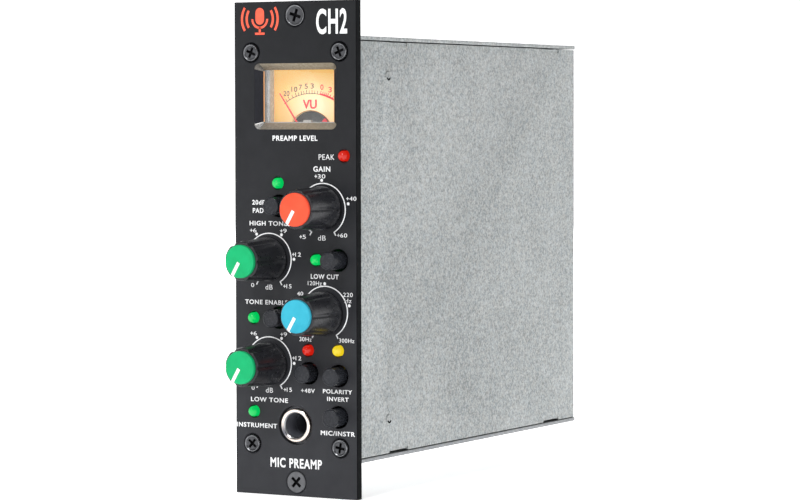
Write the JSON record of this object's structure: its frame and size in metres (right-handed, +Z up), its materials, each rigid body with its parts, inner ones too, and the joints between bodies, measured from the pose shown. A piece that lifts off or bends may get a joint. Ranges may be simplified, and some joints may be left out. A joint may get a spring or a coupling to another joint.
{
  "type": "microphone preamp",
  "caption": "Slim rack-module microphone preamp: tall black front panel with a needle meter, coloured knobs, push buttons and a jack, on a zinc-plated steel case with a card-edge board.",
  "frame": {"origin": "centre of the panel's back face, the plane that seats on the rack's rails", "axes": "+Y into the rack, away from someone facing the panel; +Z up; +X to the right of the panel"},
  "size_m": [0.0382, 0.1683, 0.1334],
  "materials": {
    "panel_black": "satin black anodised aluminium, fine bead-blast grain, bright machined bevel round the meter window",
    "zinc_sheet": "zinc-plated sheet steel with a fine grey mottle",
    "screw_black": "black oxide steel",
    "meter_case": "moulded black",
    "meter_lens": "clear moulded plastic",
    "dial_face": "printed amber card, lit from behind",
    "needle_red": "painted red",
    "movement_metal": "dull plated steel",
    "lamp_lens": "warm lamp",
    "knob_black": "satin moulded black",
    "cap_red": "satin moulded orange-red",
    "cap_green": "satin moulded green",
    "cap_blue": "satin moulded light blue",
    "shaft_metal": "turned",
    "pot_metal": "plated",
    "button_black": "satin moulded black",
    "switch_body": "moulded",
    "light_green": "tinted clear lens",
    "light_red": "tinted clear lens",
    "light_yellow": "tinted clear lens",
    "chrome_ring": "polished chrome plate",
    "jack_body": "moulded black",
    "board_green": "solder mask with gold-plated contacts",
    "header_black": "moulded",
    "transformer_steel": "laminated core",
    "capacitor_sleeve": "shrink sleeve",
    "spacer_brass": "turned"
  },
  "bodies": {
    "chassis": {"front_panel": "panel_black", "case_shell": "zinc_sheet", "side_cover": "zinc_sheet", "panel_screw_top_left": "screw_black", "panel_screw_top_right": "screw_black", "panel_screw_bottom_left": "screw_black", "panel_screw_bottom_right": "screw_black", "rack_screw_top": "screw_black", "rack_screw_bottom": "screw_black", "meter_housing": "meter_case", "meter_lens": "meter_lens", "meter_dial": "dial_face", "meter_movement": "movement_metal", "meter_lamp": "lamp_lens", "gain_pot": "pot_metal", "high_pot": "pot_metal", "low_cut_pot": "pot_metal", "low_pot": "pot_metal", "pad_switch": "switch_body", "filter_switch": "switch_body", "eq_switch": "switch_body", "phantom_switch": "switch_body", "polarity_switch": "switch_body", "input_switch": "switch_body", "pad_light": "light_green", "filter_light": "light_green", "eq_light": "light_green", "phantom_light": "light_red", "polarity_light": "light_yellow", "input_light": "light_green", "peak_light": "light_red", "jack_ferrule": "chrome_ring", "jack_socket": "jack_body", "front_board": "board_green", "main_board": "board_green", "board_header": "header_black", "transformer": "transformer_steel", "capacitor_upper": "capacitor_sleeve", "capacitor_lower": "capacitor_sleeve", "board_spacer_front": "spacer_brass", "board_spacer_rear": "spacer_brass"},
    "gain_control": {"gain_knob": "knob_black", "gain_cap": "cap_red", "gain_shaft": "shaft_metal"},
    "high_control": {"high_knob": "knob_black", "high_cap": "cap_green", "high_shaft": "shaft_metal"},
    "low_cut_control": {"low_cut_knob": "knob_black", "low_cut_cap": "cap_blue", "low_cut_shaft": "shaft_metal"},
    "low_control": {"low_knob": "knob_black", "low_cap": "cap_green", "low_shaft": "shaft_metal"},
    "pad_key": {"pad_button": "button_black"},
    "filter_key": {"filter_button": "button_black"},
    "eq_key": {"eq_button": "button_black"},
    "phantom_key": {"phantom_button": "button_black"},
    "polarity_key": {"polarity_button": "button_black"},
    "input_key": {"input_button": "button_black"},
    "needle": {"meter_needle": "needle_red"}
  },
  "joints": [
    {"name": "gain_turn", "type": "hinge", "parent": "chassis", "child": "gain_control", "pos_m": [0.00867, 0, 0.01119], "axis": [0, 1, 0], "range_deg": [0, 300]},
    {"name": "high_turn", "type": "hinge", "parent": "chassis", "child": "high_control", "pos_m": [-0.00835, 0, -0.00281], "axis": [0, 1, 0], "range_deg": [0, 300]},
    {"name": "low_cut_turn", "type": "hinge", "parent": "chassis", "child": "low_cut_control", "pos_m": [0.00898, 0, -0.01698], "axis": [0, 1, 0], "range_deg": [0, 300]},
    {"name": "low_turn", "type": "hinge", "parent": "chassis", "child": "low_control", "pos_m": [-0.00841, 0, -0.03114], "axis": [0, 1, 0], "range_deg": [0, 300]},
    {"name": "pad_press", "type": "slide", "parent": "chassis", "child": "pad_key", "axis": [0, 1, 0], "range_m": [0, 0.002], "stiffness_N_per_m": 200},
    {"name": "filter_press", "type": "slide", "parent": "chassis", "child": "filter_key", "axis": [0, 1, 0], "range_m": [0, 0.002], "stiffness_N_per_m": 200},
    {"name": "eq_press", "type": "slide", "parent": "chassis", "child": "eq_key", "axis": [0, 1, 0], "range_m": [0, 0.002], "stiffness_N_per_m": 200},
    {"name": "phantom_press", "type": "slide", "parent": "chassis", "child": "phantom_key", "axis": [0, 1, 0], "range_m": [0, 0.002], "stiffness_N_per_m": 200},
    {"name": "polarity_press", "type": "slide", "parent": "chassis", "child": "polarity_key", "axis": [0, 1, 0], "range_m": [0, 0.002], "stiffness_N_per_m": 200},
    {"name": "input_press", "type": "slide", "parent": "chassis", "child": "input_key", "axis": [0, 1, 0], "range_m": [0, 0.002], "stiffness_N_per_m": 200},
    {"name": "needle_swing", "type": "hinge", "parent": "chassis", "child": "needle", "pos_m": [0.0003, 0, 0.0296], "axis": [0, 1, 0], "range_deg": [0, 68.6], "stiffness_Nm_per_rad": 0.00005}
  ]
}
